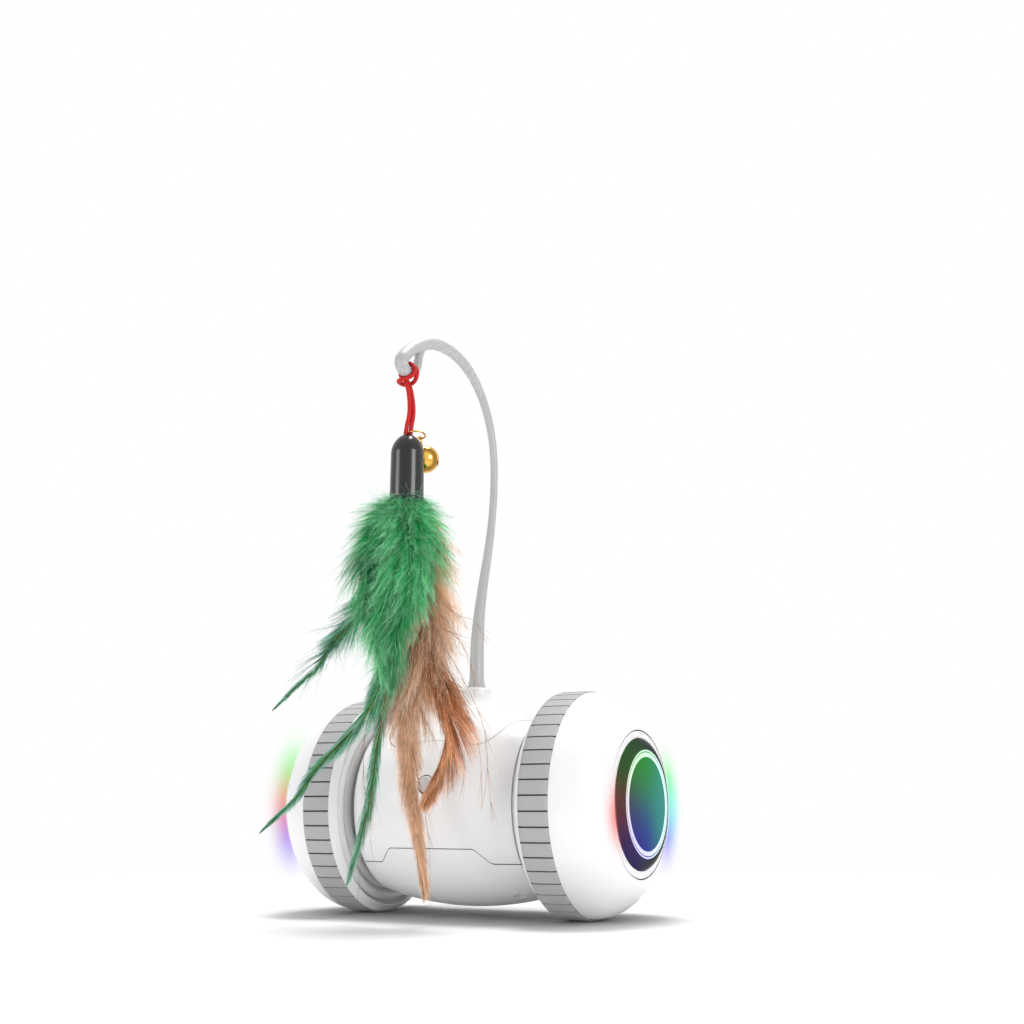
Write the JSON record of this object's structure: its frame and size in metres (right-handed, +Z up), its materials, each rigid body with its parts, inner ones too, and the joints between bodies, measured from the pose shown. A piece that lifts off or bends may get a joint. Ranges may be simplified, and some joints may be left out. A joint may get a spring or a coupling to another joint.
{
  "type": "automatic cat feather toy",
  "caption": "Self-driving cat toy: barrel body between lit domed wheels, with a bent upright wand that dangles a feather lure on an elastic loop.",
  "frame": {"origin": "on the floor under the middle of the wheels' axle", "axes": "+X along the axle to the right wheel, -Y to the front where the button and the lure are, +Z up"},
  "size_m": [0.1398, 0.1045, 0.2147],
  "materials": {
    "shell_white": "satin",
    "tread_grey": "matte",
    "frame_grey": "matte",
    "socket_grey": "matte",
    "wand_grey": "satin",
    "button_grey": "satin",
    "inner_black": "matte",
    "chassis_grey": "matte",
    "board_green": "satin",
    "led_board_white": "satin",
    "screw_steel": "satin",
    "motor_steel": "satin",
    "ballast_steel": "matte",
    "cell_wrap": "satin",
    "pinion_brass": "satin",
    "bush_natural": "satin",
    "lens_dark": "gloss",
    "ring_glow": "gloss",
    "lead_red": "matte",
    "elastic_red": "satin",
    "cap_black": "gloss",
    "bell_gold": "gloss",
    "quill_tan": "matte",
    "plume_green": "matte",
    "hackle_green": "satin",
    "feather_tan": "matte",
    "feather_rust": "matte"
  },
  "bodies": {
    "body": {"upper_shell": "shell_white", "lower_shell": "shell_white", "top_cover": "shell_white", "wand_socket": "socket_grey", "button_switch": "inner_black", "main_board": "board_green", "board_chips": "inner_black", "board_screws": "screw_steel", "charging_socket": "screw_steel", "battery_cell": "cell_wrap", "ballast_weight": "ballast_steel", "inner_chassis": "chassis_grey", "shell_screws": "screw_steel", "left_end_frame": "frame_grey", "right_end_frame": "frame_grey", "left_gear_motor": "motor_steel", "right_gear_motor": "motor_steel", "left_motor_screws": "screw_steel", "right_motor_screws": "screw_steel", "left_retaining_ring": "screw_steel", "right_retaining_ring": "screw_steel", "left_lens_seat": "shell_white", "right_lens_seat": "shell_white", "left_led_board": "led_board_white", "right_led_board": "led_board_white", "left_lens": "lens_dark", "right_lens": "lens_dark", "left_light_ring": "ring_glow", "right_light_ring": "ring_glow", "left_led_leads": "lead_red", "right_led_leads": "lead_red"},
    "power_button": {"power_button": "button_grey"},
    "wand": {"wand": "wand_grey"},
    "elastic": {"elastic_loop": "elastic_red"},
    "lure": {"lure_cap": "cap_black", "quill_plug": "quill_tan", "jump_ring": "bell_gold", "green_plume": "plume_green", "long_hackles": "hackle_green", "tan_feathers": "feather_tan", "rust_feather": "feather_rust"},
    "bell": {"bell_shell": "bell_gold", "bell_clapper": "bell_gold"},
    "left_wheel": {"left_wheel_hub": "shell_white", "left_wheel_bush": "bush_natural", "left_tyre": "tread_grey", "left_wheel_cover": "shell_white"},
    "left_pinion": {"left_motor_shaft": "screw_steel", "left_drive_pinion": "pinion_brass"},
    "right_wheel": {"right_wheel_hub": "shell_white", "right_wheel_bush": "bush_natural", "right_tyre": "tread_grey", "right_wheel_cover": "shell_white"},
    "right_pinion": {"right_motor_shaft": "screw_steel", "right_drive_pinion": "pinion_brass"}
  },
  "joints": [
    {"name": "left_wheel_spin", "type": "hinge", "parent": "body", "child": "left_wheel", "pos_m": [-0.049, 0, 0.04], "axis": [1, 0, 0], "continuous": true},
    {"name": "left_pinion_spin", "type": "hinge", "parent": "body", "child": "left_pinion", "pos_m": [-0.0397, 0, 0.0292], "axis": [1, 0, 0], "continuous": true},
    {"name": "right_wheel_spin", "type": "hinge", "parent": "body", "child": "right_wheel", "pos_m": [0.049, 0, 0.04], "axis": [1, 0, 0], "continuous": true},
    {"name": "right_pinion_spin", "type": "hinge", "parent": "body", "child": "right_pinion", "pos_m": [0.0397, 0, 0.0292], "axis": [1, 0, 0], "continuous": true},
    {"name": "power_button_press", "type": "slide", "parent": "body", "child": "power_button", "axis": [0, 1, 0], "range_m": [0, 0.0008], "stiffness_N_per_m": 600, "springref_m": -0.0008},
    {"name": "wand_pull_out", "type": "slide", "parent": "body", "child": "wand", "axis": [0, 0, 1], "range_m": [0, 0.012]},
    {"name": "elastic_side_swing", "type": "hinge", "parent": "wand", "child": "elastic", "pos_m": [0, -0.0518, 0.1946], "axis": [0, 1, 0], "range_deg": [-35, 35], "deforming": ["elastic_loop"]},
    {"name": "lure_tilt", "type": "hinge", "parent": "elastic", "child": "lure", "pos_m": [0, -0.0515, 0.1704], "axis": [1, 0, 0], "range_deg": [-50, 4], "deforming": ["elastic_loop"]},
    {"name": "bell_swing", "type": "hinge", "parent": "lure", "child": "bell", "pos_m": [0.00158, -0.04626, 0.17044], "axis": [0.9703, 0.2419, 0], "range_deg": [0, 70]}
  ],
  "couplings": [
    {"joint": "left_pinion_spin", "follows": "left_wheel_spin", "ratio": 4},
    {"joint": "right_pinion_spin", "follows": "right_wheel_spin", "ratio": 4}
  ]
}
